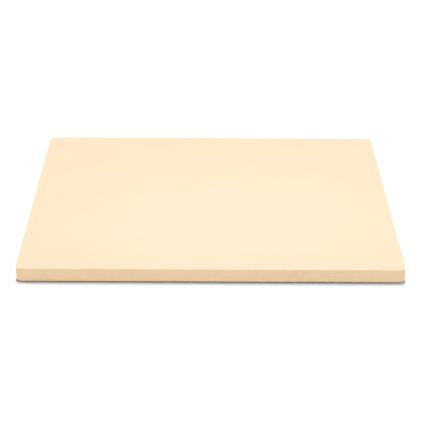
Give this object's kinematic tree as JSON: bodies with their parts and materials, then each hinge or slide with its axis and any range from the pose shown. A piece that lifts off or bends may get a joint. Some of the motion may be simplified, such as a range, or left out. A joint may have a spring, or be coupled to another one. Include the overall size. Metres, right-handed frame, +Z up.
{
  "type": "pizza stone",
  "caption": "Flat rectangular slab of fired cordierite with rounded corners and a bevelled underside edge, laid on an oven rack as a hot floor for baking pizza and bread.",
  "frame": {"origin": "middle of the underside, the face that lies on the oven rack", "axes": "+Z up through the baking face, +X along the long side, +Y along the short side towards the back"},
  "size_m": [0.38, 0.3, 0.015],
  "materials": {
    "cordierite": "matte"
  },
  "bodies": {
    "root": {"stone_slab": "cordierite"}
  },
  "joints": []
}
